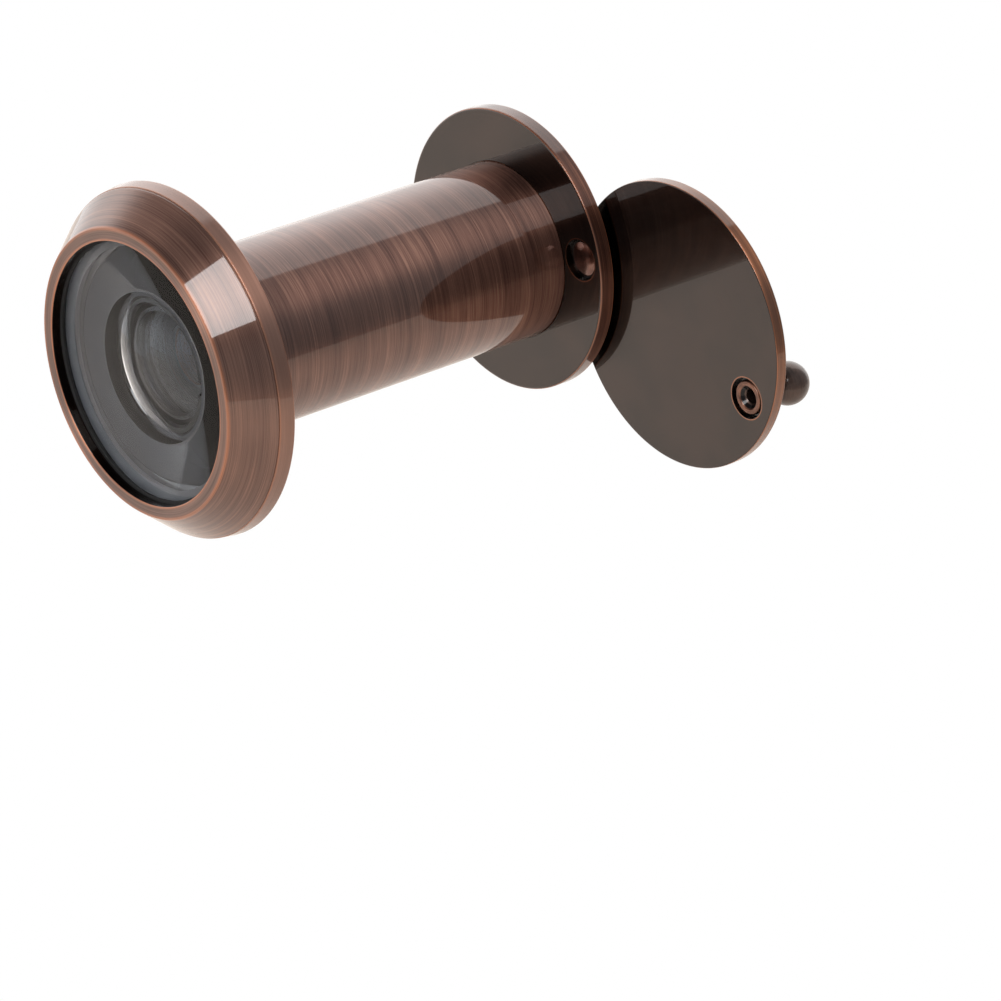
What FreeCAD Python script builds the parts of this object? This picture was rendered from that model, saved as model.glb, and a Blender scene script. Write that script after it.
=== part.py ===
import FreeCAD, Part
import os
from math import cos, radians, sin

# A door viewer for a 14 mm hole, with a swinging cover over the eyepiece.
# Millimetres. The optical axis is Y: the bezel looks towards -Y, the room side
# is +Y, and +Z is up. The origin is on the axis, in the face of the bezel that
# seats on the outside of the door.

V = FreeCAD.Vector
ORIGIN = V(0, 0, 0)
AXIS = V(0, 1, 0)

# Driving dimensions ---------------------------------------------------------
GRIP_MIN = 31.5          # thinnest door: bezel seat to flange seat, screwed home
BARREL_R = 7.0

BEZEL_DEPTH = 4.22
BEZEL_R = 13.6           # widest radius, at the door face
RIM_R = 13.42            # where the rim meets the cone
RIM_LENGTH = 1.26
FRONT_R = 11.09          # outer edge of the flat front ring
OPENING_R = 10.1         # lens opening in the bezel ring
LIP = 0.77               # depth of the opening's wall

THREAD_PITCH = 1.0
THREAD_CORE_R = 5.55     # male thread root
THREAD_CREST_R = 6.15    # male thread crest
THREAD_CREST_HALF = 0.11 # half the width of the male crest
THREAD_SLOPE = 1 / 3     # how fast a ridge widens towards its root
THREAD_GAP = 0.07        # running clearance between the flanks
NUT_LENGTH = 9.0         # threaded length inside the barrel's rear end
TUBE_LENGTH = 26.5       # threaded tube, forward of the flange

FLANGE_R = 11.2
FLANGE_THICKNESS = 1.3
COVER_R = 11.2
COVER_THICKNESS = 0.95
COVER_GAP = 0.4          # held open by the spring washer on the rivet

PIVOT_R = 9.0            # rivet to optical axis
PIVOT_ANGLE = 12.7       # degrees above +X
COVER_ARM = 9.3          # rivet to cover centre
OPEN_ANGLE = -18.3       # direction from the rivet to the cover's centre, open
KNOB_ARM = 17.9          # rivet to knob
KNOB_ANGLE = -20.1       # direction from the rivet to the knob, open
RIVET_SHANK_R = 0.75
RIVET_POCKET_R = 1.62    # counterbore for its head, in the flange
RIVET_POCKET = 0.5
PIVOT_CLEARANCE = 0.05

KNOB_BALL_R = 1.68
KNOB_NECK_R = 0.9
KNOB_STANDOFF = 3.2      # cover's rear face to the ball's centre

SEAT_GAP = 0.02          # between parts pushed into each other
EDGE = 0.1               # broken edges of turned parts

# Derived places -------------------------------------------------------------
FRONT_Y = -BEZEL_DEPTH
RIM_Y = -RIM_LENGTH
FLANGE_Y = GRIP_MIN
FLANGE_REAR_Y = FLANGE_Y + FLANGE_THICKNESS
COVER_Y = FLANGE_REAR_Y + COVER_GAP
COVER_REAR_Y = COVER_Y + COVER_THICKNESS


def polar(radius, degrees, centre=ORIGIN):
    """A place in the XZ plane, measured from +X towards +Z."""
    angle = radians(degrees)
    return centre + V(radius * cos(angle), 0, radius * sin(angle))


PIVOT = polar(PIVOT_R, PIVOT_ANGLE)
COVER_CENTRE = polar(COVER_ARM, OPEN_ANGLE, PIVOT)
KNOB = polar(KNOB_ARM, KNOB_ANGLE, PIVOT)


# Shape helpers --------------------------------------------------------------
def turned(points, arcs=None):
    """Solid of revolution about Y from (radius, y) points.

    arcs gives, for the edge that starts at a point's index, the (radius, y)
    point that its arc passes through.
    """
    arcs = arcs or {}
    edges = []
    for i, start in enumerate(points):
        a = V(start[0], start[1], 0)
        end = points[(i + 1) % len(points)]
        b = V(end[0], end[1], 0)
        if i in arcs:
            edges.append(Part.Arc(a, V(arcs[i][0], arcs[i][1], 0), b).toShape())
        else:
            edges.append(Part.makeLine(a, b))
    face = Part.Face(Part.Wire(edges))
    return face.revolve(ORIGIN, AXIS, 360)


def ring(inner, outer, y0, y1):
    """Flat ring or sleeve round the axis."""
    return turned([(inner, y0), (outer, y0), (outer, y1), (inner, y1)])


def rod(radius, y0, y1, place=ORIGIN):
    """Cylinder along Y."""
    return Part.makeCylinder(radius, y1 - y0, V(place.x, y0, place.z), AXIS)


def moved(shape, place):
    """A turned shape shifted sideways to another axis."""
    shape.translate(place)
    return shape


def crown(radius, sag, y_edge):
    """A point halfway out on a spherical cap, for turned()."""
    sphere = (radius**2 + sag**2) / (2 * abs(sag))
    half = radius / 2
    depth = abs(sag) - (sphere - (sphere**2 - half**2) ** 0.5)
    return (half, y_edge + (depth if sag > 0 else -depth))


def lens(radius, y_front, y_rear, front_sag, rear_sag, hollow_r):
    """A lens with spherical faces; a sag is where the middle lies from the edge.

    Positive sag is towards +Y. The rear face stops at hollow_r, short of the
    lens's rim, and a flat ring goes on to the rim.
    """
    points = [(0, y_front + front_sag), (radius, y_front), (radius, y_rear),
              (hollow_r, y_rear), (0, y_rear + rear_sag)]
    return turned(points, {0: crown(radius, front_sag, y_front),
                           3: crown(hollow_r, rear_sag, y_rear)})


def male_half_width(radius):
    """Half the width of the male ridge at a radius."""
    return THREAD_CREST_HALF + (THREAD_CREST_R - radius) * THREAD_SLOPE


def female_half_width(radius):
    """Half the width of the female ridge: the male groove, less the gap."""
    return THREAD_PITCH / 2 - male_half_width(radius) - THREAD_GAP


def helical_ridge(y0, turns, start_angle, inner, outer, half_width):
    """One thread ridge along Y, between two radii."""
    helix = Part.makeHelix(THREAD_PITCH, THREAD_PITCH * turns, inner)
    corners = [V(inner, 0, -half_width(inner)), V(outer, 0, -half_width(outer)),
               V(outer, 0, half_width(outer)), V(inner, 0, half_width(inner))]
    profile = Part.makePolygon(corners + corners[:1])
    ridge = Part.Wire(helix).makePipeShell([profile], True, True)
    # The helix is made about Z: lay it along +Y, keeping it right-handed.
    ridge.rotate(ORIGIN, V(0, 0, 1), start_angle)
    ridge.rotate(ORIGIN, V(1, 0, 0), -90)
    ridge.translate(V(0, y0, 0))
    return ridge


# Outside half ---------------------------------------------------------------
SPIGOT_R = 10.75                 # barrel housing's spigot, inside the bezel ring
SPIGOT_Y = -3.0
SEAL_INNER_R = 9.89
SEAL_THICKNESS = 0.3
LENS_R = 10.3
LENS_FRONT_Y = FRONT_Y + LIP + SEAL_THICKNESS
LENS_SAG = 0.65
LENS_SHOULDER_Y = -2.1           # where the rear cone starts, at the lens's edge
LENS_REAR_Y = -0.95
LENS_HOLLOW_R = 5.7
LENS_CONE_R = 5.9                # where the rear cone ends
LENS_HOLLOW_DEPTH = 1.5
GASKET_R = 9.2                   # inner radius of the wedge under the cone
POCKET_R = LENS_R + 0.05
POCKET_Y = -0.9                  # floor of the lens pocket
CELL_HEAD_R = 8.6
CELL_HEAD = 0.4
CELL_R = 6.3
CELL_BORE_R = 5.4
CELL_EXIT_R = 4.2
CELL_FLOOR = 0.6
CELL_END_Y = 4.6
BORE_R = 6.35
SECOND_LENS_Y = (-0.1, 1.0)
THIRD_LENS_Y = (2.0, CELL_END_Y - CELL_FLOOR)
SECOND_LENS_SAG = 1.3
INNER_LENS_R = CELL_BORE_R - SEAT_GAP
RING_SPLIT = 1.0


def bezel_ring():
    rounding = 0.12
    socket_r = SPIGOT_R + SEAT_GAP
    return turned([
        (OPENING_R, FRONT_Y + EDGE), (OPENING_R + EDGE, FRONT_Y),
        (FRONT_R - rounding, FRONT_Y), (FRONT_R, FRONT_Y + rounding),
        (RIM_R, RIM_Y), (socket_r, RIM_Y),
        (socket_r, FRONT_Y + LIP), (OPENING_R, FRONT_Y + LIP),
    ])


def lens_front_seal():
    lens_crown_room = 0.06
    return ring(SEAL_INNER_R, SPIGOT_R - EDGE, FRONT_Y + LIP, LENS_FRONT_Y - lens_crown_room)


def lens_cone_y(radius):
    """Where the objective's rear cone lies at a radius."""
    share = (LENS_R - radius) / (LENS_R - LENS_CONE_R)
    return LENS_SHOULDER_Y + share * (LENS_REAR_Y - LENS_SHOULDER_Y)


def objective_lens():
    """Domed front, shallow rear cone, and a hollow in the middle of the rear."""
    return turned([
        (0, LENS_FRONT_Y - LENS_SAG), (LENS_R, LENS_FRONT_Y), (LENS_R, LENS_SHOULDER_Y),
        (LENS_CONE_R, LENS_REAR_Y), (LENS_HOLLOW_R, LENS_REAR_Y),
        (0, LENS_REAR_Y - LENS_HOLLOW_DEPTH),
    ], {0: crown(LENS_R, -LENS_SAG, LENS_FRONT_Y),
        4: crown(LENS_HOLLOW_R, -LENS_HOLLOW_DEPTH, LENS_REAR_Y)})


def objective_gasket():
    """Wedge-shaped ring between the lens's cone and the floor of its pocket."""
    return turned([
        (GASKET_R, lens_cone_y(GASKET_R) + SEAT_GAP), (LENS_R, LENS_SHOULDER_Y + SEAT_GAP),
        (LENS_R, POCKET_Y), (GASKET_R, POCKET_Y),
    ])


def barrel_housing():
    root_r = THREAD_CREST_R + 0.1
    crest_r = THREAD_CORE_R + 0.1
    overlap = 0.2                # of the ridge with the wall that it grows from
    chamfer = 0.2
    nut_y = GRIP_MIN - NUT_LENGTH
    head_r = CELL_HEAD_R + 0.05
    body = turned([
        (BORE_R, POCKET_Y + CELL_HEAD), (head_r, POCKET_Y + CELL_HEAD),
        (head_r, POCKET_Y), (POCKET_R, POCKET_Y), (POCKET_R, SPIGOT_Y),
        (SPIGOT_R, SPIGOT_Y), (SPIGOT_R, RIM_Y), (RIM_R - EDGE, RIM_Y),
        (RIM_R, RIM_Y + EDGE), (BEZEL_R, -EDGE), (BEZEL_R - EDGE, 0),
        (BARREL_R, 0), (BARREL_R, GRIP_MIN - EDGE), (BARREL_R - EDGE, GRIP_MIN),
        (root_r + chamfer, GRIP_MIN), (root_r, GRIP_MIN - chamfer),
        (root_r, nut_y), (BORE_R, nut_y - EDGE),
    ])
    # It starts half a turn round from the male ridge, so it lies in the groove.
    ridge = helical_ridge(nut_y + THREAD_PITCH, NUT_LENGTH - 2 * THREAD_PITCH, 180,
                          crest_r, root_r + overlap, female_half_width)
    return body.fuse(ridge)


def front_lens_cell():
    lead_in = 0.3
    return turned([
        (CELL_EXIT_R, CELL_END_Y), (CELL_EXIT_R, CELL_END_Y - CELL_FLOOR),
        (CELL_BORE_R, CELL_END_Y - CELL_FLOOR), (CELL_BORE_R, POCKET_Y),
        (CELL_HEAD_R, POCKET_Y), (CELL_HEAD_R, POCKET_Y + CELL_HEAD),
        (CELL_R, POCKET_Y + CELL_HEAD), (CELL_R, CELL_END_Y - lead_in),
        (CELL_R - lead_in, CELL_END_Y),
    ])


def second_lens():
    return lens(INNER_LENS_R, *SECOND_LENS_Y, -SECOND_LENS_SAG, -0.75, 4.2)


def lens_spacer():
    return ring(4.5, INNER_LENS_R, SECOND_LENS_Y[1], THIRD_LENS_Y[0])


def third_lens():
    return lens(INNER_LENS_R, *THIRD_LENS_Y, 0.7, -0.45, 4.4)


def cell_retaining_ring():
    """Split ring that springs into the cell, on the second lens's shoulder."""
    inner, y0, y1 = 5.05, -0.75, -0.27
    band = ring(inner, INNER_LENS_R, y0, y1)
    slit = Part.makeBox(RING_SPLIT, 2, RING_SPLIT, V(inner - 0.3, y0 - 1, -RING_SPLIT / 2))
    return band.cut(slit)


# Room half ------------------------------------------------------------------
TUBE_BORE_R = 4.95
TUBE_END_Y = FLANGE_Y - TUBE_LENGTH
EYE_HOLE_R = 4.2
EYE_BEVEL = 0.5
EYE_SEAT_Y = FLANGE_REAR_Y - 1.0     # shoulder that the eyepiece lens rests on
EYE_LENS_THICKNESS = 1.9             # at its edge
SEAT_RING_Y = (EYE_SEAT_Y - 2.4, EYE_SEAT_Y - 2.08)
CLIP_GROOVE_Y = (EYE_SEAT_Y - 2.9, EYE_SEAT_Y - 2.4)
CLIP_GROOVE = 0.18
BARREL_RECESS = 0.15                 # the barrel's end stands this deep in the flange
RECESS_R = BARREL_R + 0.2
STOP_R = 3.3
STOP_LENGTH = 0.75
COIN_SLOT = (17.2, 0.5, 1.6)         # length, depth, width
COIN_SLOT_ANGLE = 60


def eyepiece_tube():
    bevel = 0.15
    groove_r = TUBE_BORE_R + CLIP_GROOVE
    body = turned([
        (TUBE_BORE_R, TUBE_END_Y), (THREAD_CORE_R - EDGE, TUBE_END_Y),
        (THREAD_CORE_R, TUBE_END_Y + bevel), (THREAD_CORE_R, FLANGE_Y + BARREL_RECESS),
        (RECESS_R, FLANGE_Y + BARREL_RECESS), (RECESS_R, FLANGE_Y),
        (FLANGE_R - bevel, FLANGE_Y), (FLANGE_R, FLANGE_Y + bevel),
        (FLANGE_R, FLANGE_REAR_Y - EDGE), (FLANGE_R - EDGE, FLANGE_REAR_Y),
        (EYE_HOLE_R + EYE_BEVEL, FLANGE_REAR_Y), (EYE_HOLE_R, FLANGE_REAR_Y - EYE_BEVEL),
        (EYE_HOLE_R, EYE_SEAT_Y), (TUBE_BORE_R, EYE_SEAT_Y),
        (TUBE_BORE_R, CLIP_GROOVE_Y[1]), (groove_r, CLIP_GROOVE_Y[1]),
        (groove_r, CLIP_GROOVE_Y[0]), (TUBE_BORE_R, CLIP_GROOVE_Y[0]),
    ])
    overlap = 0.15
    run_out = 1.0
    ridge = helical_ridge(TUBE_END_Y + THREAD_PITCH / 2,
                          TUBE_LENGTH - THREAD_PITCH / 2 - run_out, 0,
                          THREAD_CORE_R - overlap, THREAD_CREST_R, male_half_width)
    body = body.fuse(ridge)
    past = 0.1
    pocket = rod(RIVET_POCKET_R, FLANGE_Y - past, FLANGE_Y + RIVET_POCKET, PIVOT)
    hole = rod(RIVET_SHANK_R + SEAT_GAP, FLANGE_Y, FLANGE_REAR_Y + past, PIVOT)
    # Two slots for a coin, either side of the eyepiece
    length, depth, width = COIN_SLOT
    slot = Part.makeBox(length, depth + past, width,
                        V(-length / 2, FLANGE_REAR_Y - depth, -width / 2))
    slot.rotate(ORIGIN, AXIS, COIN_SLOT_ANGLE)
    core = rod(EYE_HOLE_R, EYE_SEAT_Y, FLANGE_REAR_Y + 1)
    return body.cut(pocket).cut(hole).cut(slot.cut(core))


def eyepiece_lens():
    return lens(TUBE_BORE_R - 0.05, EYE_SEAT_Y - EYE_LENS_THICKNESS, EYE_SEAT_Y,
                -0.9, 0.55, EYE_HOLE_R - 0.3)


def eyepiece_seat_ring():
    return ring(4.45, TUBE_BORE_R - 0.05, *SEAT_RING_Y)


def eyepiece_retaining_clip():
    """Split spring clip in the tube's groove."""
    inner, side = 4.4, 0.03
    y0, y1 = CLIP_GROOVE_Y
    clip = ring(inner, TUBE_BORE_R + CLIP_GROOVE - side, y0 + side, y1 - side)
    split = 1.8
    return clip.cut(Part.makeBox(1.4, 1, split, V(inner - 0.4, y0 - 0.2, -split / 2)))


def field_stop():
    y0 = TUBE_END_Y + 0.05
    return ring(STOP_R, TUBE_BORE_R - SEAT_GAP / 2, y0, y0 + STOP_LENGTH)


# Cover and its rivet --------------------------------------------------------
RIVET_HEAD_R = 1.35
RIVET_EDGE_DEPTH = 0.28          # head's edge below the flange's face
RIVET_FRONT_DOME = 0.3
RIVET_REAR_DOME = 0.4
RIVET_REAR_EDGE = 0.12
WASHER_BORE_R = RIVET_SHANK_R + 0.08
SPRING_WASHER_R = 1.7
SPRING_WASHER = 0.18
OUTER_WASHER_R = 1.7
OUTER_WASHER = 0.28
RUNNING_GAP = 0.03
STAKE_POCKET_R = 1.6
STAKE_POCKET = 0.42


def pivot_rivet():
    """Domed head in the flange's counterbore, and a formed head behind the cover."""
    seat = FLANGE_Y + RIVET_POCKET
    front_edge = FLANGE_Y + RIVET_EDGE_DEPTH
    rear = COVER_REAR_Y + OUTER_WASHER + 2 * RUNNING_GAP
    rear_edge = rear + RIVET_REAR_EDGE
    shape = turned([
        (0, front_edge - RIVET_FRONT_DOME), (RIVET_HEAD_R, front_edge),
        (RIVET_HEAD_R, seat), (RIVET_SHANK_R, seat), (RIVET_SHANK_R, rear),
        (RIVET_HEAD_R, rear), (RIVET_HEAD_R, rear_edge),
        (0, rear_edge + RIVET_REAR_DOME),
    ], {0: crown(RIVET_HEAD_R, -RIVET_FRONT_DOME, front_edge),
        6: crown(RIVET_HEAD_R, RIVET_REAR_DOME, rear_edge)})
    return moved(shape, PIVOT)


def pivot_spring_washer():
    """Shallow cone that presses the cover away from the flange."""
    low, high = FLANGE_REAR_Y + SEAT_GAP / 2, COVER_Y - SEAT_GAP / 2
    return moved(turned([
        (WASHER_BORE_R, high - SPRING_WASHER), (SPRING_WASHER_R, low),
        (SPRING_WASHER_R, low + SPRING_WASHER), (WASHER_BORE_R, high),
    ]), PIVOT)


def pivot_outer_washer():
    y0 = COVER_REAR_Y + RUNNING_GAP
    return moved(ring(WASHER_BORE_R, OUTER_WASHER_R, y0, y0 + OUTER_WASHER), PIVOT)


def cover_disc():
    past = 1.0
    disc = moved(turned([
        (0, COVER_Y), (COVER_R - EDGE, COVER_Y), (COVER_R, COVER_Y + EDGE),
        (COVER_R, COVER_REAR_Y - EDGE), (COVER_R - EDGE, COVER_REAR_Y),
        (0, COVER_REAR_Y),
    ]), COVER_CENTRE)
    for radius, place, end in (
            (RIVET_SHANK_R + PIVOT_CLEARANCE, PIVOT, COVER_REAR_Y + past),
            (STAKE_POCKET_R, KNOB, COVER_Y + STAKE_POCKET),
            (KNOB_NECK_R + SEAT_GAP, KNOB, COVER_REAR_Y + past)):
        disc = disc.cut(rod(radius, COVER_Y - past, end, place))
    return disc


def ball_knob():
    """Ball, collar and a hollow tail that is flared into the cover's pocket."""
    ball_y = COVER_REAR_Y + KNOB_STANDOFF
    neck_y = ball_y - (KNOB_BALL_R**2 - KNOB_NECK_R**2) ** 0.5
    collar_r, collar, collar_slope = 1.3, 0.45, 0.15
    floor_y = COVER_Y + STAKE_POCKET
    flare_r = STAKE_POCKET_R - 0.22
    mouth_r, hole_r = 0.92, 0.55
    crest_y = COVER_Y + 0.12
    shape = turned([
        (0, ball_y + KNOB_BALL_R), (KNOB_NECK_R, neck_y),
        (KNOB_NECK_R, COVER_REAR_Y + collar + collar_slope),
        (collar_r, COVER_REAR_Y + collar), (collar_r, COVER_REAR_Y),
        (KNOB_NECK_R, COVER_REAR_Y), (KNOB_NECK_R, floor_y), (flare_r, floor_y),
        (flare_r - EDGE, crest_y + EDGE), (flare_r - 2 * EDGE, crest_y),
        (mouth_r + EDGE, crest_y), (mouth_r, crest_y + EDGE),
        (hole_r, floor_y + EDGE), (hole_r, COVER_REAR_Y + 0.5), (0, COVER_REAR_Y + 0.7),
    ], {0: (KNOB_BALL_R, ball_y)})
    return moved(shape, KNOB)


PARTS = [
    bezel_ring, lens_front_seal, objective_lens, objective_gasket, barrel_housing,
    front_lens_cell, second_lens, lens_spacer, third_lens, cell_retaining_ring,
    eyepiece_tube, eyepiece_lens, eyepiece_seat_ring, eyepiece_retaining_clip,
    field_stop, pivot_rivet, pivot_spring_washer, pivot_outer_washer, cover_disc,
    ball_knob,
]

os.makedirs("parts", exist_ok=True)
for make in PARTS:
    shape = make()
    if shape.ShapeType == "Compound" and len(shape.Solids) == 1:
        shape = shape.Solids[0]
    shape.exportStep(f"parts/{make.__name__}.step")
    print(make.__name__, shape.ShapeType, len(shape.Solids), shape.isValid(),
          round(shape.Volume, 2))
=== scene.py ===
from math import asin, ceil, cos, floor, pi, radians, sin, sqrt

import bmesh
import bpy
from mathutils import Matrix, Vector


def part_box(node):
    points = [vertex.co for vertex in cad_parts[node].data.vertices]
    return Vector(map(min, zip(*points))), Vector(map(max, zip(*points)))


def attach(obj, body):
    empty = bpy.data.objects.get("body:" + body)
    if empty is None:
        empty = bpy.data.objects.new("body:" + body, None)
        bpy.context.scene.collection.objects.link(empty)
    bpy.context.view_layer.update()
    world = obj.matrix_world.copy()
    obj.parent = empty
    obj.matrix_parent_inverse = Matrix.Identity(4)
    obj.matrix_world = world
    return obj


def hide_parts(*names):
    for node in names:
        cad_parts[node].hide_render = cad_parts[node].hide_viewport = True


# A door viewer in aged copper. The axis of the optics is Y, and profiles are
# (radius, y) pairs in millimetres, turned about it or about the cover's rivet.
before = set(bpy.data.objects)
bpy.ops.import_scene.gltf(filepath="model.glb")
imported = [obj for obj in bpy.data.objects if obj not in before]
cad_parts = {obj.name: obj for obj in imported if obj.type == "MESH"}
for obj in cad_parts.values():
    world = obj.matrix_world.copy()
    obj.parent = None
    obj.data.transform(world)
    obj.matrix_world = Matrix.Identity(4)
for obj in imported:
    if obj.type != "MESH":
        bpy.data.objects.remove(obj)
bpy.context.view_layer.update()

MM = 0.001


# Places, read from the frame --------------------------------------------------
def box_mm(node):
    low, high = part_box(node)
    return [v / MM for v in low], [v / MM for v in high]


def span_y(node):
    low, high = box_mm(node)
    return low[1], high[1]


def centre_xz(node):
    low, high = box_mm(node)
    return (low[0] + high[0]) / 2, (low[2] + high[2]) / 2


FRONT_Y, RIM_Y = span_y("bezel_ring")
BARREL_END = span_y("barrel_housing")[1]
SPIGOT_Y = span_y("barrel_housing")[0]
BEZEL_R = box_mm("barrel_housing")[1][0]
CONE_R = box_mm("bezel_ring")[1][0]
TUBE_Y, FLANGE_REAR = span_y("eyepiece_tube")
FLANGE_R = -box_mm("eyepiece_tube")[0][0]
COVER_Y, COVER_REAR = span_y("cover_disc")
COVER_C = centre_xz("cover_disc")
COVER_R = (box_mm("cover_disc")[1][2] - box_mm("cover_disc")[0][2]) / 2
PIVOT = centre_xz("pivot_rivet")
KNOB = centre_xz("ball_knob")

# Radii and places that the parts share
BARREL_R = 7.0
FRONT_R = 11.09
OPENING_R = 10.1
POCKET_Y = -0.9            # floor of the front lens's pocket
LENS_R = 10.3
LENS_SHOULDER_Y = -2.1     # where its rear cone starts
LENS_REAR_Y = -0.95
LENS_CONE_R = 5.9          # where the cone ends
LENS_CROWN = 0.65          # height of its front dome
LENS_HOLLOW_R = 5.7
LENS_HOLLOW = 1.5
CELL_HEAD_R = 8.6
CELL_HEAD = 0.4            # thickness of the cell's front flange
CELL_BORE_R = 5.4
INNER_LENS_R = CELL_BORE_R - 0.02
THREAD_PITCH = 1.0
THREAD_CORE_R = 5.55
THREAD_CREST_R = 6.15
NUT_ROOT_R = 6.25
NUT_CREST_R = 5.65
TUBE_BORE_R = 4.95
EYE_HOLE_R = 4.2
EYE_SEAT_Y = FLANGE_REAR - 1.0               # the eyepiece lens rests here
RIVET_SHANK_R = 0.75
RIVET_HEAD_R = 1.35
RIVET_POCKET_R = 1.62      # counterbore for its head
RIVET_POCKET = 0.5
WASHER_BORE_R = RIVET_SHANK_R + 0.08
WASHER_R = 1.7
KNOB_BALL_R = 1.68
KNOB_NECK_R = 0.9
KNOB_POCKET_R = 1.6        # where its tail is flared
KNOB_POCKET = 0.42
SEGMENTS = 192             # round the large turned pieces
SMALL_SEGMENTS = 96        # round the small ones
SHARP_ANGLE = radians(35)  # edges beyond this aren't smoothed
PAST = 0.1                 # how far a cutter stands out of what it cuts


# Mesh building ----------------------------------------------------------------
def rounded(corners, steps=4):
    """A closed outline of (r, y, fillet radius) corners, with arcs at the corners.

    A point just beside each arc keeps the shading of the flat beyond it flat.
    """
    beside = 0.03

    def support(point, side, reach):
        return tuple(point + side.normalized() * min(beside, 0.4 * (side.length - reach)))

    outline = []
    count = len(corners)
    for i, (r, y, fillet) in enumerate(corners):
        here = Vector((r, y))
        if fillet <= 0:
            outline.append((r, y))
            continue
        before = Vector(corners[i - 1][:2]) - here
        after = Vector(corners[(i + 1) % count][:2]) - here
        half = before.angle(after) / 2
        reach = min(fillet / max(sin(half) / cos(half), 1e-6),
                    0.49 * before.length, 0.49 * after.length)
        start = here + before.normalized() * reach
        end = here + after.normalized() * reach
        outline.append(support(start, before, reach))
        for k in range(steps + 1):
            t = k / steps
            # A quadratic through the corner's two tangent points
            p = start * (1 - t) ** 2 + here * 2 * t * (1 - t) + end * t ** 2
            outline.append((p.x, p.y))
        outline.append(support(end, after, reach))
    return outline


def cap(radius, sag, y_edge):
    """Points of a spherical face from its edge to the axis."""
    steps = 24
    sphere = (radius ** 2 + sag ** 2) / (2 * abs(sag))
    side = 1 if sag > 0 else -1
    points = []
    for k in range(steps + 1):
        r = radius * cos(pi / 2 * k / steps)
        drop = sphere - sqrt(sphere ** 2 - r ** 2)
        points.append((r, y_edge + sag - side * drop))
    points[-1] = (0.0, y_edge + sag)
    return points


def turn(bm, outline, axis, segments, closed):
    """Adds the surface that an outline of (r, y) sweeps about Y through axis."""
    rings = []
    for r, y in outline:
        if r < 1e-6:
            rings.append([bm.verts.new((axis[0], y, axis[1]))])
            continue
        rings.append([
            bm.verts.new((axis[0] + r * cos(a), y, axis[1] + r * sin(a)))
            for a in (2 * pi * k / segments for k in range(segments))
        ])
    for i, here in enumerate(rings if closed else rings[:-1]):
        there = rings[(i + 1) % len(rings)]
        if len(here) == 1 and len(there) == 1:
            continue
        for k in range(segments):
            n = (k + 1) % segments
            corners = [here[k % len(here)], here[n % len(here)],
                       there[n % len(there)], there[k % len(there)]]
            bm.faces.new(list(dict.fromkeys(corners)))


def add_thread(bm, base_r, y0, y1, crest_r, half_base, half_crest, phase, segments):
    """Adds a helical thread between two rings of radius base_r, fading at its ends."""
    fade = 0.4                 # mm along the axis
    profile = ((-half_base, base_r), (-half_crest, crest_r),
               (half_crest, crest_r), (half_base, base_r))
    first = floor((y0 - phase) / THREAD_PITCH) - 1
    last = ceil((y1 - phase) / THREAD_PITCH) + 2
    rows = []
    for turn_number in range(first, last + 1):
        for along, radius in profile:
            row = []
            for k in range(segments + 1):
                share = k / segments
                y = phase + (turn_number - share) * THREAD_PITCH + along
                y = min(max(y, y0), y1)
                height = min(1.0, (y - y0) / fade, (y1 - y) / fade)
                r = base_r + (radius - base_r) * height
                row.append(bm.verts.new((r * cos(2 * pi * share), y, r * sin(2 * pi * share))))
            rows.append(row)
    for low, high in zip(rows, rows[1:]):
        for k in range(segments):
            bm.faces.new((low[k], low[k + 1], high[k + 1], high[k]))


def lathe(name, outline, axis=(0, 0), segments=SEGMENTS, thread=None):
    """A mesh turned from a closed outline of (r, y) in mm, about Y through axis.

    A thread (crest radius, half width at base, half width at crest, phase)
    replaces the outline's closing edge, which then lies along Y.
    """
    bm = bmesh.new()
    turn(bm, outline, axis, segments, closed=thread is None)
    if thread:
        y0, y1 = sorted((outline[0][1], outline[-1][1]))
        add_thread(bm, outline[0][0], y0, y1, *thread, segments)
    return finish_mesh(name, bm)


def finish_mesh(name, bm):
    """Cleans bm, scales it to metres and makes it a smooth-shaded object."""
    bmesh.ops.remove_doubles(bm, verts=bm.verts, dist=1e-4)
    bmesh.ops.dissolve_degenerate(bm, edges=bm.edges, dist=1e-5)
    bmesh.ops.recalc_face_normals(bm, faces=bm.faces)
    if bm.calc_volume(signed=True) < 0:
        bmesh.ops.reverse_faces(bm, faces=bm.faces)
    bmesh.ops.scale(bm, vec=(MM, MM, MM), verts=bm.verts)
    mesh = bpy.data.meshes.new(name)
    bm.to_mesh(mesh)
    bm.free()
    mesh.shade_smooth()
    mesh.set_sharp_from_angle(angle=SHARP_ANGLE)
    obj = bpy.data.objects.new(name, mesh)
    bpy.context.scene.collection.objects.link(obj)
    return obj


def cut(obj, *cutters):
    """Takes the cutters out of obj, and removes them."""
    for cutter in cutters:
        mod = obj.modifiers.new("cut", "BOOLEAN")
        mod.operation = "DIFFERENCE"
        mod.solver = "EXACT"
        mod.object = cutter
        graph = bpy.context.evaluated_depsgraph_get()
        mesh = bpy.data.meshes.new_from_object(obj.evaluated_get(graph))
        obj.modifiers.clear()
        obj.data = mesh
        bpy.data.objects.remove(cutter)
    obj.data.shade_smooth()
    obj.data.set_sharp_from_angle(angle=SHARP_ANGLE)
    return obj


def drill(r, y0, y1, axis):
    """A cutter: a cylinder along Y."""
    return lathe("cutter", [(0, y0), (r, y0), (r, y1), (0, y1)], axis, SMALL_SEGMENTS)


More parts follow.
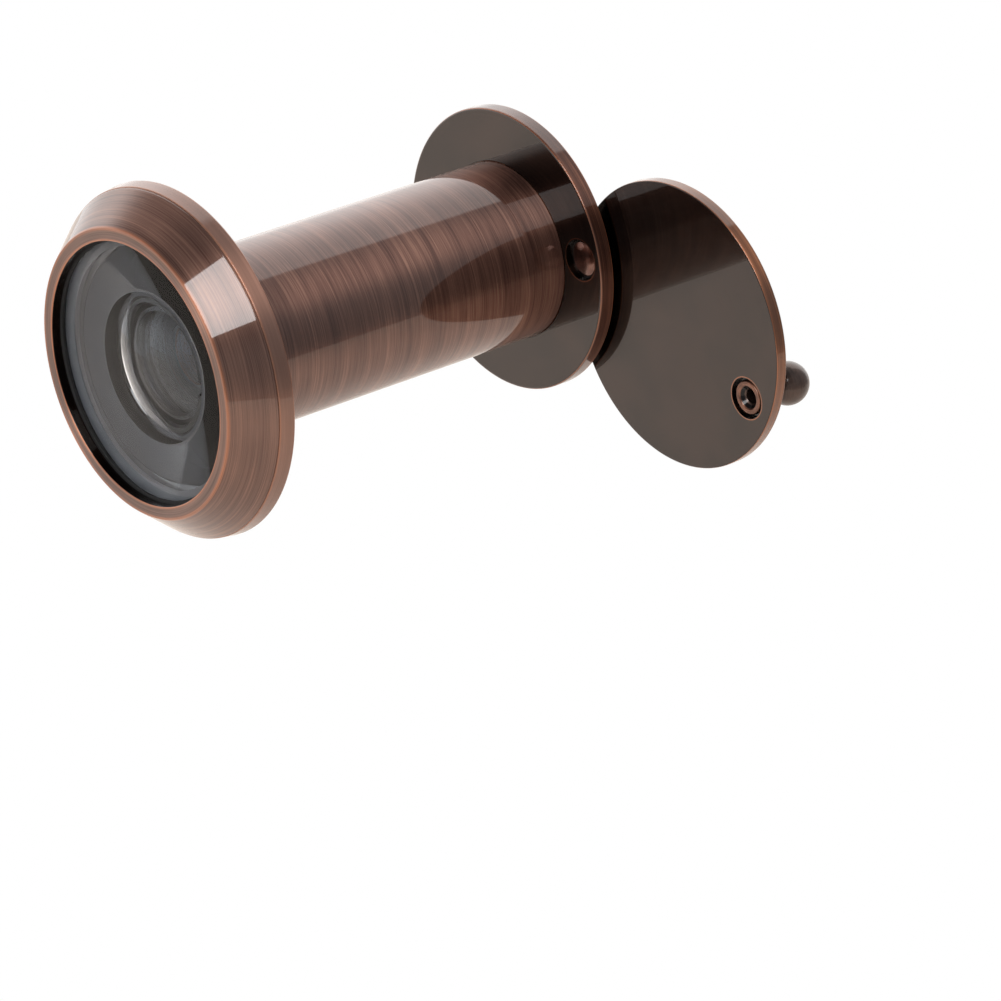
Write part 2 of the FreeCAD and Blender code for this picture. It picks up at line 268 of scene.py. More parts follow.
# Node helpers -----------------------------------------------------------------
class Nodes:
    """Shorthand for building a shader tree."""

    def __init__(self, tree):
        self.tree = tree
        tree.nodes.clear()

    def add(self, kind, inputs=None, **settings):
        node = self.tree.nodes.new(kind)
        for key, value in settings.items():
            setattr(node, key, value)
        for key, value in (inputs or {}).items():
            self.set(node.inputs[key], value)
        return node

    def set(self, socket, value):
        if isinstance(value, bpy.types.NodeSocket):
            self.tree.links.new(value, socket)
        else:
            socket.default_value = value

    def math(self, operation, a, b=0.0):
        return self.add("ShaderNodeMath", {0: a, 1: b}, operation=operation).outputs[0]

    def length(self, a, b):
        squares = [self.math("MULTIPLY", v, v) for v in (a, b)]
        return self.math("SQRT", self.math("ADD", *squares))

    def ramp(self, value, low, high, to_low=0.0, to_high=1.0):
        node = self.add("ShaderNodeMapRange",
                        {0: value, 1: low, 2: high, 3: to_low, 4: to_high},
                        interpolation_type="SMOOTHSTEP")
        return node.outputs[0]

    def spread(self, noise, to_low=0.0, to_high=1.0):
        """Maps the range that a noise mostly stays in onto the one given."""
        return self.ramp(noise, 0.3, 0.7, to_low, to_high)

    def mix(self, factor, a, b):
        node = self.add("ShaderNodeMix", {0: factor, 6: a, 7: b}, data_type="RGBA")
        return node.outputs[2]

    def blend(self, factor, a, b):
        node = self.add("ShaderNodeMix", {0: factor, 2: a, 3: b}, data_type="FLOAT")
        return node.outputs[0]

    def noise(self, vector, scale, detail, rough):
        node = self.add("ShaderNodeTexNoise", {
            "Vector": vector, "Scale": scale, "Detail": detail, "Roughness": rough})
        return node.outputs["Fac"]

    def bump(self, height, strength, distance_mm):
        return self.add("ShaderNodeBump", {
            "Height": height, "Strength": strength, "Distance": distance_mm * MM}).outputs[0]

    def principled(self, inputs):
        shader = self.add("ShaderNodeBsdfPrincipled", inputs)
        self.add("ShaderNodeOutputMaterial", {"Surface": shader.outputs[0]})


def rgba(r, g, b):
    return (r, g, b, 1.0)


def new_material(name):
    material = bpy.data.materials.new(name)
    material.use_nodes = True
    return material, Nodes(material.node_tree)


def turned_space(n, axis=(0, 0)):
    """Radius and y in mm about a Y axis, the unit direction from it, and the place."""
    place = n.add("ShaderNodeTexCoord").outputs["Object"]
    xyz = n.add("ShaderNodeSeparateXYZ", {0: place}).outputs
    x = n.math("SUBTRACT", n.math("DIVIDE", xyz[0], MM), axis[0])
    y = n.math("DIVIDE", xyz[1], MM)
    z = n.math("SUBTRACT", n.math("DIVIDE", xyz[2], MM), axis[1])
    r = n.length(x, z)
    safe = n.math("MAXIMUM", r, 0.01)
    return r, y, n.math("DIVIDE", x, safe), n.math("DIVIDE", z, safe), place


def streaks(n, space, along, across, detail, rough, shift=0.0):
    """Noise that is drawn out round the axis, as turning marks are."""
    r, y, ux, uz, _ = space
    meridian = n.math("ADD", n.math("ADD", r, y), shift)
    stretched = n.add("ShaderNodeCombineXYZ", {
        0: n.math("MULTIPLY", ux, along), 1: n.math("MULTIPLY", meridian, across),
        2: n.math("MULTIPLY", uz, along)}).outputs[0]
    return n.noise(stretched, 1.0, detail, rough)


# Patina from dark to light, for brushed_copper and dark_bronze
BARREL_TONES = (rgba(0.090, 0.040, 0.030), rgba(0.182, 0.089, 0.065), rgba(0.330, 0.178, 0.126))
BEZEL_TONES = (rgba(0.094, 0.044, 0.032), rgba(0.200, 0.106, 0.079), rgba(0.370, 0.200, 0.140))
RIM_TONES = (rgba(0.052, 0.019, 0.012), rgba(0.120, 0.048, 0.030), rgba(0.290, 0.125, 0.074))
COVER_TONES = (rgba(0.098, 0.032, 0.012), rgba(0.185, 0.068, 0.028), rgba(0.300, 0.120, 0.052))
BALL_TONES = (rgba(0.042, 0.028, 0.023), rgba(0.085, 0.055, 0.044), rgba(0.14, 0.080, 0.058))
RIVET_TONES = (rgba(0.075, 0.034, 0.026), rgba(0.20, 0.100, 0.075), rgba(0.50, 0.26, 0.18))
TAIL_TONES = (rgba(0.10, 0.042, 0.026), rgba(0.26, 0.12, 0.075))
# Pairs between which a surface varies
LACQUER = (rgba(0.0170, 0.0090, 0.0055), rgba(0.030, 0.0155, 0.0105))
PRIMER = (rgba(0.060, 0.062, 0.068), rgba(0.070, 0.072, 0.078))
CELL_BLACK = (rgba(0.006, 0.006, 0.007), rgba(0.010, 0.010, 0.011))
BLOOM = (rgba(0.92, 0.955, 1.0), rgba(0.94, 0.97, 1.0))    # coated glass
RUBBED = rgba(0.60, 0.225, 0.105)                          # bare copper on worn edges
# Painted shade: near black inside a pocket
POCKET_SHADE = rgba(0.006, 0.003, 0.002)                           # inside a pocket
# Painted shade: near black inside the knob's tail
HOLLOW_SHADE = rgba(0.003, 0.002, 0.002)                         # inside the knob's tail


def wear_at(n, r, y, edges, width):
    """1 on the given (r, y) edges, fading to 0 over width."""
    mask = None
    for er, ey in edges:
        gap = n.length(n.math("SUBTRACT", r, er), n.math("SUBTRACT", y, ey))
        near = n.ramp(gap, 0.0, width, 1.0, 0.0)
        mask = near if mask is None else n.math("MAXIMUM", mask, near)
    return mask


def on_planes(n, y, planes):
    """1 on the given y planes, 0 off them."""
    mask = None
    for plane in planes:
        gap = n.math("ABSOLUTE", n.math("SUBTRACT", y, plane))
        near = n.ramp(gap, 0.012, 0.03, 1.0, 0.0)
        mask = near if mask is None else n.math("MAXIMUM", mask, near)
    return mask


def lacquer_faces(n, space, faces, tones, fine, cloud, colour, rough, marks):
    """Colour, roughness and height, with smooth lacquer on the given y planes."""
    flat = on_planes(n, space[1], faces)
    lacquer = n.mix(n.spread(cloud), *LACQUER)
    lacquer = n.mix(n.math("MULTIPLY", n.ramp(fine, 0.55, 0.8), 0.2), lacquer, tones[0])
    smooth = n.spread(fine, 0.16, 0.24)
    height = n.math("MULTIPLY", marks, n.ramp(flat, 0.0, 1.0, 1.0, 0.05))
    return n.mix(flat, colour, lacquer), n.blend(flat, rough, smooth), height


def shade_pocket(n, space, axis, pocket, colour):
    """Colour, with painted shade inside a pocket of a front face and rubbed bright round its
    mouth.
    """
    r, y, ux, uz, _ = space
    (x, z), pocket_r, floor_y = pocket
    dx = n.math("ADD", n.math("MULTIPLY", ux, r), axis[0] - x)
    dz = n.math("ADD", n.math("MULTIPLY", uz, r), axis[1] - z)
    gap = n.math("SUBTRACT", n.length(dx, dz), pocket_r)
    above_floor = n.ramp(y, floor_y + 0.02, floor_y + 0.06, 1.0, 0.0)
    # A thin ring just outside the mouth
    off_mouth = n.math("ABSOLUTE", n.math("SUBTRACT", gap, 0.06))
    mouth = n.math("MULTIPLY", n.ramp(off_mouth, 0.03, 0.06, 0.45, 0.0), above_floor)
    # Painted shade, near black, on the pocket's wall in front of its floor
    painted_shade = n.math("MULTIPLY", n.ramp(gap, 0.01, 0.03, 1.0, 0.0), above_floor)
    return n.mix(painted_shade, n.mix(mouth, colour, RUBBED), POCKET_SHADE)


def brushed_copper(name, tones, axis=(0, 0), edges=(), width=0.2, faces=(), pocket=None,
                   primed=False):
    """Dark patina on copper, brushed round the axis and worn bright on edges.

    Faces in the given y planes kept their smooth dark lacquer. A pocket (centre,
    radius, floor) gets painted shade inside and is rubbed bright round its mouth. A
    primed piece is grey inside, where the lens rests, and lighter on its rim.
    """
    material, n = new_material(name)
    space = turned_space(n, axis)
    r, y, _, _, place = space
    fine = streaks(n, space, along=0.9, across=9.0, detail=5.0, rough=0.62)
    hair = streaks(n, space, along=1.8, across=26.0, detail=3.0, rough=0.6, shift=7.0)
    band = streaks(n, space, along=0.5, across=1.4, detail=3.0, rough=0.5, shift=3.0)
    cloud = n.noise(place, 230.0, 3.0, 0.5)
    marks = n.math("ADD", n.math("MULTIPLY", fine, 0.55), n.math("MULTIPLY", hair, 0.45))
    level = n.math("ADD", marks, n.math("MULTIPLY", n.math("SUBTRACT", band, 0.5), 0.4))
    level = n.math("ADD", level, n.math("MULTIPLY", n.math("SUBTRACT", cloud, 0.5), 0.12))
    colour = n.mix(n.ramp(level, 0.33, 0.56), tones[0], tones[1])
    colour = n.mix(n.ramp(level, 0.50, 0.74), colour, tones[2])
    if edges:
        rubbed = wear_at(n, r, y, edges, width)
        rubbed = n.math("MULTIPLY", rubbed, n.ramp(marks, 0.34, 0.60, 0.35, 1.0))
        colour = n.mix(n.math("MULTIPLY", rubbed, 0.8), colour, RUBBED)
    if primed:
        rim = n.ramp(r, BARREL_R + 0.1, BARREL_R + 0.3, 0.0, 0.5)
        colour = n.mix(rim, colour, tones[2])
    rough = n.spread(marks, 0.44, 0.54)
    height = marks
    metallic = 1.0
    if faces:
        colour, rough, height = lacquer_faces(
            n, space, faces, tones, fine, cloud, colour, rough, marks)
    if pocket:
        colour = shade_pocket(n, space, axis, pocket, colour)
    if primed:
        inside = n.math("MULTIPLY", n.ramp(r, LENS_R + 0.1, LENS_R + 0.2, 1.0, 0.0),
                        n.ramp(y, POCKET_Y + 0.45, POCKET_Y + 0.5, 1.0, 0.0))
        colour = n.mix(inside, colour, n.mix(n.spread(cloud), *PRIMER))
        metallic = n.math("SUBTRACT", 1.0, inside)
        rough = n.blend(inside, rough, 0.5)
    # The brushing spreads reflections along the piece, across the turning marks.
    round_axis = n.add("ShaderNodeTangent", direction_type="RADIAL", axis="Y").outputs[0]
    n.principled({
        "Base Color": colour, "Metallic": metallic, "Roughness": rough,
        "Normal": n.bump(height, 0.2, 0.02),
        "Anisotropic": 0.95, "Anisotropic Rotation": 0.25, "Tangent": round_axis,
        "Coat Weight": 1.0, "Coat Roughness": 0.04, "Coat IOR": 1.5})
    return material


def dark_bronze(name, axis, tones, rough, tail_y=None):
    """Rubbed dark bronze with a little copper showing through.

    In front of tail_y it is the worn, flared end of a hollow tail, with painted shade inside
    the hollow.
    """
    material, n = new_material(name)
    space = turned_space(n, axis)
    r, y, _, _, place = space
    fine = streaks(n, space, along=1.4, across=16.0, detail=4.0, rough=0.6)
    cloud = n.noise(place, 900.0, 3.0, 0.5)
    level = n.math("ADD", n.math("MULTIPLY", fine, 0.5), n.math("MULTIPLY", cloud, 0.5))
    colour = n.mix(n.ramp(level, 0.34, 0.60), tones[0], tones[1])
    colour = n.mix(n.ramp(level, 0.58, 0.78), colour, tones[2])
    if tail_y is not None:
        tail = n.ramp(y, tail_y - 0.05, tail_y, 1.0, 0.0)
        colour = n.mix(tail, colour, n.mix(n.ramp(level, 0.4, 0.6), *TAIL_TONES))
        # Painted shade, near black, inside the tail's hollow
        hollow = n.math("MULTIPLY", tail, n.ramp(r, 0.84, 0.90, 1.0, 0.0))
        colour = n.mix(hollow, colour, HOLLOW_SHADE)
    n.principled({
        "Base Color": colour, "Metallic": 1.0, "Normal": n.bump(fine, 0.12, 0.02),
        "Roughness": n.spread(level, rough, rough * 1.5),
        "Coat Weight": 0.6, "Coat Roughness": 0.12, "Coat IOR": 1.5})
    return material


def matte(name, tone, rough_low, rough_high, grain=2600.0, contrast=0.5, relief=0.2):
    """Rubber, plastic or blackened metal with a fine grain."""
    material, n = new_material(name)
    place = n.add("ShaderNodeTexCoord").outputs["Object"]
    fine = n.noise(place, grain, 3.0, 0.6)
    broad = n.noise(place, grain / 9, 2.0, 0.5)
    shade = n.math("ADD", n.math("MULTIPLY", fine, 0.5), n.math("MULTIPLY", broad, 0.5))
    low, high = tone * (1 - contrast), tone * (1 + contrast)
    colour = n.mix(n.spread(shade), rgba(low, low, low * 1.03),
                   rgba(high, high, high * 1.03))
    n.principled({
        "Base Color": colour, "Roughness": n.spread(shade, rough_low, rough_high),
        "Normal": n.bump(fine, relief, 0.01)})
    return material


def cell_plastic(name, head_y):
    """Black moulding whose front face, under the lens, is painted grey."""
    material, n = new_material(name)
    r, y, _, _, place = turned_space(n)
    cloud = n.spread(n.noise(place, 230.0, 3.0, 0.5))
    painted = n.math("MULTIPLY", n.ramp(y, head_y + 0.02, head_y + 0.04, 1.0, 0.0),
                     n.ramp(r, CELL_BORE_R + 0.05, CELL_BORE_R + 0.1))
    n.principled({
        "Base Color": n.mix(painted, n.mix(cloud, *CELL_BLACK), n.mix(cloud, *PRIMER)),
        "Roughness": n.ramp(cloud, 0.0, 1.0, 0.62, 0.74)})
    return material


def spring_steel(name, axis, low, high):
    """Turned steel, from a dark and a light level of grey."""
    material, n = new_material(name)
    fine = streaks(n, turned_space(n, axis), along=2.0, across=26.0, detail=4.0, rough=0.6)
    n.principled({
        "Base Color": n.mix(n.spread(fine), rgba(low, low, low * 1.02),
                            rgba(high, high * 0.99, high * 0.97)),
        "Metallic": 1.0, "Roughness": n.spread(fine, 0.2, 0.38)})
    return material


def optical_glass(name, edge_r, paint, gloss):
    """Clear bloomed glass, painted on its edge, beyond edge_r."""
    material, n = new_material(name)
    r, _, _, _, place = turned_space(n)
    edge = n.ramp(r, edge_r - 0.03, edge_r - 0.01)
    haze = n.noise(place, 420.0, 4.0, 0.6)
    tint = n.mix(n.spread(haze), *BLOOM)
    n.principled({
        "Base Color": n.mix(edge, tint, rgba(paint, paint, paint * 1.05)),
        "Roughness": n.math("MULTIPLY", edge, 0.6), "Specular Tint": rgba(gloss, gloss, gloss),
        "IOR": 1.52, "Transmission Weight": n.math("SUBTRACT", 1.0, edge)})
    return material


# Pieces -----------------------------------------------------------------------
def place_piece(obj, node, body, material):
    obj.data.materials.clear()
    obj.data.materials.append(material)
    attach(obj, body)
    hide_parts(node)


def lens_outline(radius, y_front, y_rear, front_sag, rear_sag, rear_r):
    """A lens with a spherical face at each end, the rear one within a flat margin."""
    outline = list(reversed(cap(radius, front_sag, y_front)))
    return outline + [(radius, y_rear)] + cap(rear_r, rear_sag, y_rear)


def ring_outline(inner, outer, y0, y1):
    soft = 0.04
    return rounded([(inner, y0, soft), (outer, y0, soft), (outer, y1, soft), (inner, y1, soft)])


def make_bezel_ring():
    """Front ring and cone, with a lip over the lens."""
    spigot_r = 10.77
    lip_y = FRONT_Y + 0.77
    outline = rounded([
        (OPENING_R, FRONT_Y, 0.10), (FRONT_R, FRONT_Y, 0.16), (CONE_R, RIM_Y, 0.10),
        (spigot_r, RIM_Y, 0.03), (spigot_r, lip_y, 0.0), (OPENING_R, lip_y, 0.05),
    ], 5)
    return lathe("bezel_ring_turned", outline)


def make_barrel_housing():
    """Rim, barrel and the rear end's thread, with steps inside for lens and cell."""
    head_y = POCKET_Y + CELL_HEAD
    pocket_r, spigot_r, bore_r, head_r = LENS_R + 0.05, 10.75, 6.35, CELL_HEAD_R + 0.05
    nut_y = BARREL_END - 9.0   # where the thread starts
    half_base, half_crest = 0.353, 0.153
    edge = 0.1
    outline = [(NUT_ROOT_R, nut_y + 0.7)] + rounded([
        (NUT_ROOT_R, nut_y, 0.0), (bore_r, nut_y - edge, 0.0),
        (bore_r, head_y, 0.0), (head_r, head_y, 0.0), (head_r, POCKET_Y, 0.0),
        (pocket_r, POCKET_Y, 0.0), (pocket_r, SPIGOT_Y, 0.05),
        (spigot_r, SPIGOT_Y, 0.05), (spigot_r, RIM_Y, 0.0), (CONE_R, RIM_Y, edge),
        (BEZEL_R, 0.0, 0.12), (BARREL_R, 0.0, 0.03), (BARREL_R, BARREL_END, 0.03),
        (NUT_ROOT_R + 0.2, BARREL_END, 0.0), (NUT_ROOT_R, BARREL_END - 0.2, 0.0),
    ]) + [(NUT_ROOT_R, BARREL_END - 0.7)]
    return lathe("barrel_housing_turned", outline,
                 thread=(NUT_CREST_R, half_base, half_crest, nut_y + THREAD_PITCH / 2))


def make_eyepiece_tube():
    """Flange and threaded tube, with the rivet's hole and two coin slots."""
    recess_r, recess_y = BARREL_R + 0.06, BARREL_END + 0.15
    groove_r = TUBE_BORE_R + 0.18                       # for the clip
    groove_y0, groove_y1 = EYE_SEAT_Y - 2.9, EYE_SEAT_Y - 2.4
    slot_span, slot_width, slot_depth, slot_angle = 17.2, 1.6, 0.5, radians(60)
    half_base, half_crest = 0.31, 0.11
    outline = [(THREAD_CORE_R, BARREL_END - 0.9)] + rounded([
        (THREAD_CORE_R, recess_y, 0.0), (recess_r, recess_y, 0.0),
        (recess_r, BARREL_END, 0.02), (FLANGE_R, BARREL_END, 0.18),
        (FLANGE_R, FLANGE_REAR, 0.12), (EYE_HOLE_R + 0.5, FLANGE_REAR, 0.04),
        (EYE_HOLE_R, FLANGE_REAR - 0.5, 0.04), (EYE_HOLE_R, EYE_SEAT_Y, 0.0),
        (TUBE_BORE_R, EYE_SEAT_Y, 0.0), (TUBE_BORE_R, groove_y1, 0.0),
        (groove_r, groove_y1, 0.0), (groove_r, groove_y0, 0.0),
        (TUBE_BORE_R, groove_y0, 0.0), (TUBE_BORE_R, TUBE_Y, 0.0),
        (THREAD_CORE_R - 0.1, TUBE_Y, 0.0), (THREAD_CORE_R, TUBE_Y + 0.15, 0.0),
    ]) + [(THREAD_CORE_R, TUBE_Y + 0.2)]
    tube = lathe("eyepiece_tube_turned", outline,
                 thread=(THREAD_CREST_R, half_base, half_crest,
                         TUBE_Y + THREAD_PITCH / 2))
    pocket = drill(RIVET_POCKET_R, BARREL_END - PAST, BARREL_END + RIVET_POCKET, PIVOT)
    hole = drill(RIVET_SHANK_R + 0.02, BARREL_END, FLANGE_REAR + PAST, PIVOT)
    bm = bmesh.new()
    bmesh.ops.create_cube(bm, size=1.0)
    bmesh.ops.scale(bm, vec=(slot_span, slot_depth + PAST, slot_width), verts=bm.verts)
    bmesh.ops.translate(bm, vec=(0, FLANGE_REAR - slot_depth / 2 + PAST / 2, 0),
                        verts=bm.verts)
    bmesh.ops.rotate(bm, matrix=Matrix.Rotation(slot_angle, 3, "Y"), verts=bm.verts)
    slots = finish_mesh("coin_slots", bm)
    return cut(tube, pocket, hole, slots)


def make_cover():
    """Disc with the rivet's hole and the pocket and hole for the knob's tail."""
    edge = 0.1
    front, rear = COVER_Y - PAST, COVER_REAR + PAST
    disc = lathe("cover_disc_turned", rounded([
        (0, COVER_Y, 0.0), (COVER_R, COVER_Y, edge), (COVER_R, COVER_REAR, edge),
        (0, COVER_REAR, 0.0)]), COVER_C)
    return cut(disc, drill(RIVET_SHANK_R + 0.05, front, rear, PIVOT),
               drill(KNOB_POCKET_R, front, COVER_Y + KNOB_POCKET, KNOB),
               drill(KNOB_NECK_R + 0.02, COVER_Y, rear, KNOB))


def make_ball_knob():
    """Ball, collar and a hollow tail that is flared into the cover's pocket."""
    ball_y = span_y("ball_knob")[1] - KNOB_BALL_R
    steps = 40
    lowest = asin(-sqrt(1 - (KNOB_NECK_R / KNOB_BALL_R) ** 2))   # where ball meets neck
    outline = [(0.0, ball_y + KNOB_BALL_R)]
    for k in range(1, steps + 1):
        a = pi / 2 - k / steps * (pi / 2 - lowest)
        outline.append((KNOB_BALL_R * cos(a), ball_y + KNOB_BALL_R * sin(a)))
    collar_r, bore_r = 1.3, 0.55
    floor_y, crest_y = COVER_Y + KNOB_POCKET, COVER_Y + 0.12
    outline += rounded([
        (KNOB_NECK_R, COVER_REAR + 0.6, 0.05), (collar_r, COVER_REAR + 0.45, 0.08),
        (collar_r, COVER_REAR, 0.04), (KNOB_NECK_R, COVER_REAR, 0.0),
        (KNOB_NECK_R, floor_y, 0.0), (1.38, floor_y, 0.02), (1.28, crest_y, 0.1),
        (0.94, crest_y, 0.12), (bore_r, floor_y + 0.1, 0.1),
        (bore_r, COVER_REAR + 0.5, 0.0), (0.0, COVER_REAR + 0.7, 0.0)])
    return lathe("ball_knob_turned", outline, KNOB, SMALL_SEGMENTS)


def make_rivet():
    """Domed head in front, shank, and the end that is formed over the washer."""
    front, rear = span_y("pivot_rivet")
    front_dome, rear_dome = 0.3, 0.4
    front_edge, rear_edge = front + front_dome, rear - rear_dome
    seat, formed = BARREL_END + RIVET_POCKET, rear_edge - 0.12
    outline = list(reversed(cap(RIVET_HEAD_R, -front_dome, front_edge)))
    outline += [(RIVET_HEAD_R, seat), (RIVET_SHANK_R, seat), (RIVET_SHANK_R, formed),
                (RIVET_HEAD_R, formed)] + cap(RIVET_HEAD_R, rear_dome, rear_edge)
    return lathe("pivot_rivet_formed", outline, PIVOT, SMALL_SEGMENTS)


def make_spring_washer():
    """A shallow cone, pressed between flange and cover."""
    y0, y1 = span_y("pivot_spring_washer")
    thick, edge = 0.18, 0.02
    return lathe("pivot_spring_washer_pressed", rounded([
        (WASHER_BORE_R, y1 - thick, edge), (WASHER_R, y0, edge),
        (WASHER_R, y0 + thick, edge), (WASHER_BORE_R, y1, edge)]), PIVOT, SMALL_SEGMENTS)


def make_lens_cell():
    """Cup with a flange in front and a lip behind, which holds the inner lenses."""
    y0, y1 = span_y("front_lens_cell")
    lip_r, lip_y, wall_r, head_y = 4.2, y1 - 0.6, 6.3, y0 + CELL_HEAD
    return lathe("front_lens_cell_moulded", rounded([
        (lip_r, y1, 0.1), (lip_r, lip_y, 0.05), (CELL_BORE_R, lip_y, 0.0),
        (CELL_BORE_R, y0, 0.08), (CELL_HEAD_R, y0, 0.05), (CELL_HEAD_R, head_y, 0.0),
        (wall_r, head_y, 0.0), (wall_r, y1, 0.3)]))


def make_objective():
    """Domed in front, with a cone and a hollow behind."""
    front_y = span_y("objective_lens")[0] + LENS_CROWN
    return lathe("objective_lens_ground",
                 list(reversed(cap(LENS_R, -LENS_CROWN, front_y)))
                 + [(LENS_R, LENS_SHOULDER_Y), (LENS_CONE_R, LENS_REAR_Y)]
                 + cap(LENS_HOLLOW_R, -LENS_HOLLOW, LENS_REAR_Y))


def make_gasket():
    """A wedge that fills the space behind the lens's rear cone."""
    y0, inner_r = span_y("objective_gasket")[0], 9.2
    slope = (LENS_REAR_Y - LENS_SHOULDER_Y) / (LENS_R - LENS_CONE_R)
    rise = (LENS_R - inner_r) * slope
    return lathe("objective_gasket_moulded", rounded([
        (inner_r, y0 + rise, 0.0), (LENS_R, y0, 0.0), (LENS_R, POCKET_Y, 0.0),
        (inner_r, POCKET_Y, 0.0)]))


def build():
    # The pockets given here get painted shade on their walls.
    bezel = brushed_copper("aged_copper_bezel", BEZEL_TONES, width=0.28,
                           edges=[(FRONT_R, FRONT_Y), (OPENING_R, FRONT_Y)],
                           pocket=((0, 0), OPENING_R, FRONT_Y + 1.0))
    barrel = brushed_copper("aged_copper_barrel", BARREL_TONES, primed=True,
                            edges=[(BEZEL_R, 0.0), (CONE_R, RIM_Y)])
    flange = brushed_copper("aged_copper_flange", RIM_TONES, width=0.16,
                            edges=[(FLANGE_R, BARREL_END), (FLANGE_R, FLANGE_REAR)],
                            faces=(BARREL_END, FLANGE_REAR),
                            pocket=(PIVOT, RIVET_POCKET_R, BARREL_END + RIVET_POCKET))
    cover = brushed_copper("aged_copper_cover", COVER_TONES, COVER_C, width=0.15,
                           edges=[(COVER_R, COVER_Y)], faces=(COVER_Y, COVER_REAR),
                           pocket=(KNOB, KNOB_POCKET_R, COVER_Y + KNOB_POCKET))
    ball = dark_bronze("knob_bronze_ball", KNOB, BALL_TONES, 0.34, COVER_Y + 0.45)
    rivet = dark_bronze("knob_bronze_rivet", PIVOT, RIVET_TONES, 0.14)
    rubber = matte("black_rubber", 0.009, 0.7, 0.9)
    bedding = matte("rubber_bedding", 0.22, 0.4, 0.5, grain=900.0, contrast=0.06, relief=0.02)
    plastic = matte("black_plastic", 0.014, 0.30, 0.5)
    cell_black = cell_plastic("black_plastic_cell", POCKET_Y)
    front_glass = optical_glass("lens_glass_front", LENS_R, 0.02, 0.06)
    glass = optical_glass("lens_glass", INNER_LENS_R, 0.004, 0.3)
    washer_steel = spring_steel("spring_steel_washer", PIVOT, 0.03, 0.08)
    clip_steel = spring_steel("spring_steel_clip", (0, 0), 0.25, 0.55)

    for make, node, body, material, slot in (
            (make_bezel_ring, "bezel_ring", "outside_half", bezel, "aged_copper"),
            (make_barrel_housing, "barrel_housing", "outside_half", barrel, "aged_copper"),
            (make_eyepiece_tube, "eyepiece_tube", "room_half", flange, "aged_copper"),
            (make_cover, "cover_disc", "cover", cover, "aged_copper"),
            (make_ball_knob, "ball_knob", "cover", ball, "knob_bronze"),
            (make_rivet, "pivot_rivet", "room_half", rivet, "knob_bronze"),
            (make_spring_washer, "pivot_spring_washer", "room_half", washer_steel,
             "spring_steel"),
            (make_objective, "objective_lens", "outside_half", front_glass, "lens_glass"),
            (make_gasket, "objective_gasket", "outside_half", bedding, "black_rubber"),
            (make_lens_cell, "front_lens_cell", "outside_half", cell_black,
             "black_plastic")):
        place_piece(make(), node, body, material)

    # Plain rings: inner and outer radius
    for node, inner, outer, axis, body, material, slot in (
            ("lens_front_seal", 9.89, 10.65, (0, 0), "outside_half", rubber, "black_rubber"),
            ("lens_spacer", 4.5, 5.38, (0, 0), "outside_half", plastic, "black_plastic"),
            ("field_stop", 3.3, 4.94, (0, 0), "room_half", plastic, "black_plastic"),
            ("eyepiece_seat_ring", 4.45, 4.9, (0, 0), "eyepiece_optics", rubber,
             "black_rubber"),
            ("pivot_outer_washer", WASHER_BORE_R, WASHER_R, PIVOT, "room_half", rivet,
             "knob_bronze")):
        ring = lathe(node + "_turned", ring_outline(inner, outer, *span_y(node)), axis)
        place_piece(ring, node, body, material)

    # Inner lenses: radius, front and rear edge, the two sags, and the rear face's radius
    for node, body, shape in (
            ("second_lens", "outside_half", (INNER_LENS_R, -0.1, 1.0, -1.3, -0.75, 4.2)),
            ("third_lens", "outside_half", (INNER_LENS_R, 2.0, 4.0, 0.7, -0.45, 4.4)),
            ("eyepiece_lens", "eyepiece_optics",
             (4.9, EYE_SEAT_Y - 1.9, EYE_SEAT_Y, -0.9, 0.55, EYE_HOLE_R - 0.3))):
        place_piece(lathe(node + "_ground", lens_outline(*shape)), node, body, glass)

    # Two split rings stay as the frame has them, with a new material
    for node, material in (("eyepiece_retaining_clip", clip_steel),
                           ("cell_retaining_ring", plastic)):
        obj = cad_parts[node]
        obj.data.materials.clear()
        obj.data.materials.append(material)


# Studio -----------------------------------------------------------------------
VIEW_AZIMUTH = 49.38       # degrees; 0 looks along +Y
VIEW_ELEVATION = 25.81
VIEW_DISTANCE = 400.33 * MM
VIEW_AIM = Vector((20.48, 13.51, -8.28)) * MM
LENS_MM = 196.85
TABLE_DROP = 42 * MM       # table top below the axis
TABLE_R = 220 * MM


def direction(azimuth, elevation):
    """Where a camera looking along this azimuth, down by elevation, points."""
    a, e = radians(azimuth), radians(elevation)
    return Vector((-sin(a) * cos(e), cos(a) * cos(e), -sin(e)))


def make_camera():
    forward = direction(VIEW_AZIMUTH, VIEW_ELEVATION)
    data = bpy.data.cameras.new("camera")
    data.lens = LENS_MM
    data.sensor_width = 36     # mm
    data.clip_start, data.clip_end = 0.01, 50     # m
    camera = bpy.data.objects.new("camera", data)
    camera.location = VIEW_AIM - forward * VIEW_DISTANCE
    camera.rotation_euler = forward.to_track_quat("-Z", "Y").to_euler()
    bpy.context.scene.collection.objects.link(camera)
    bpy.context.scene.camera = camera


def softbox(name, towards, distance, width, height, power, mirrored=True):
    """An area light out along a direction from the part, facing it."""
    data = bpy.data.lights.new(name, "AREA")
    data.shape = "RECTANGLE"
    data.size, data.size_y, data.energy = width, height, power
    lamp = bpy.data.objects.new(name, data)
    towards = Vector(towards).normalized()
    lamp.location = towards * distance
    lamp.rotation_euler = (-towards).to_track_quat("-Z", "Z").to_euler()
    lamp.visible_glossy = mirrored
    bpy.context.scene.collection.objects.link(lamp)


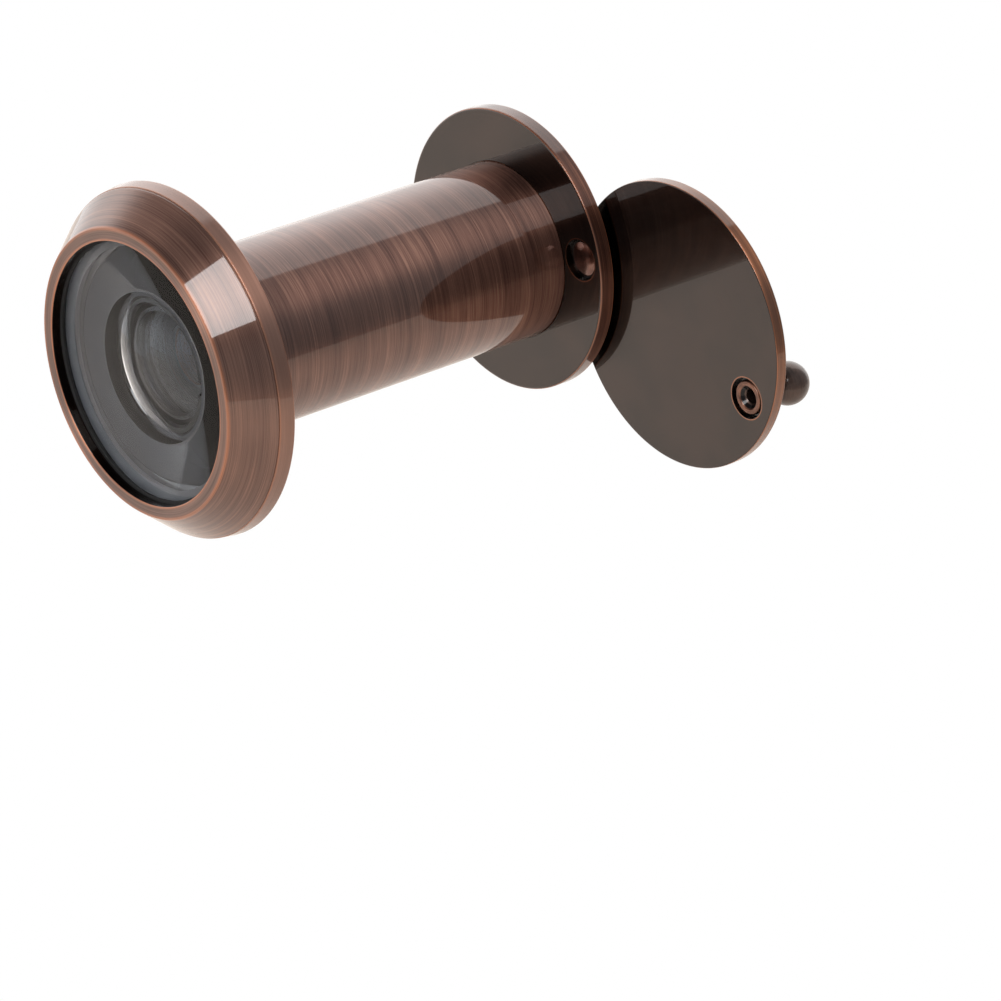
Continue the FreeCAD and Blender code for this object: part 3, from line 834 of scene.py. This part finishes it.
def make_world():
    """White diffusers on the left, a dim room on the right, and dark behind and above.

    The ramps run over the parts of a unit vector towards the world.
    """
    world = bpy.data.worlds.new("studio")
    world.use_nodes = True
    bpy.context.scene.world = world
    n = Nodes(world.node_tree)
    way = n.add("ShaderNodeTexCoord").outputs["Generated"]
    x, y, z = n.add("ShaderNodeSeparateXYZ", {0: way}).outputs[:3]
    gap_low, gap_high = sin(radians(60)), sin(radians(66))     # the gap overhead
    white_share = n.math("MULTIPLY", n.ramp(x, 0.01, -0.05), n.ramp(z, gap_high, gap_low))
    behind = n.math("MULTIPLY", n.ramp(y, 0.10, -0.25), n.ramp(z, 0.12, 0.5))
    white_share = n.math("MULTIPLY", white_share, n.math("SUBTRACT", 1.0, behind))
    room = n.mix(n.ramp(z, 0.0, 0.6), rgba(0.42, 0.41, 0.41), rgba(0.58, 0.57, 0.58))
    room = n.mix(behind, room, rgba(0.19, 0.18, 0.19))
    white = n.mix(n.ramp(z, 0.0, 0.45), rgba(1.45, 1.43, 1.41), rgba(2.1, 2.05, 2.03))
    lit = n.mix(white_share, room, white)
    seen = n.add("ShaderNodeLightPath").outputs["Is Camera Ray"]
    ground = n.mix(seen, lit, rgba(1.0, 1.0, 1.0))     # the picture's ground is plain white
    back = n.add("ShaderNodeBackground", {"Color": ground, "Strength": 1.0})
    n.add("ShaderNodeOutputWorld", {"Surface": back.outputs[0]})


def make_table():
    bm = bmesh.new()
    bmesh.ops.create_circle(bm, cap_ends=True, segments=SMALL_SEGMENTS, radius=TABLE_R)
    mesh = bpy.data.meshes.new("table")
    bm.to_mesh(mesh)
    bm.free()
    table = bpy.data.objects.new("table", mesh)
    table.location.z = -TABLE_DROP
    table.visible_camera = False       # it only lights and mirrors
    bpy.context.scene.collection.objects.link(table)
    material, n = new_material("table_paper")
    place = n.add("ShaderNodeTexCoord").outputs["Object"]
    grain = n.noise(place, 60.0, 4.0, 0.5)
    colour = n.mix(grain, rgba(0.76, 0.69, 0.62), rgba(0.78, 0.71, 0.64))
    n.principled({"Base Color": colour, "Roughness": 0.9})
    mesh.materials.append(material)


make_camera()
build()
make_world()
make_table()
softbox("front_softbox", towards=(0.36, -0.62, 0.69), distance=0.9, width=0.55, height=0.34,
        power=5.2)
softbox("overhead_softbox", towards=(-0.15, 0.25, 1.0), distance=1.2, width=1.3, height=1.3,
        power=5.6, mirrored=False)
bpy.context.scene.view_settings.view_transform = "Standard"
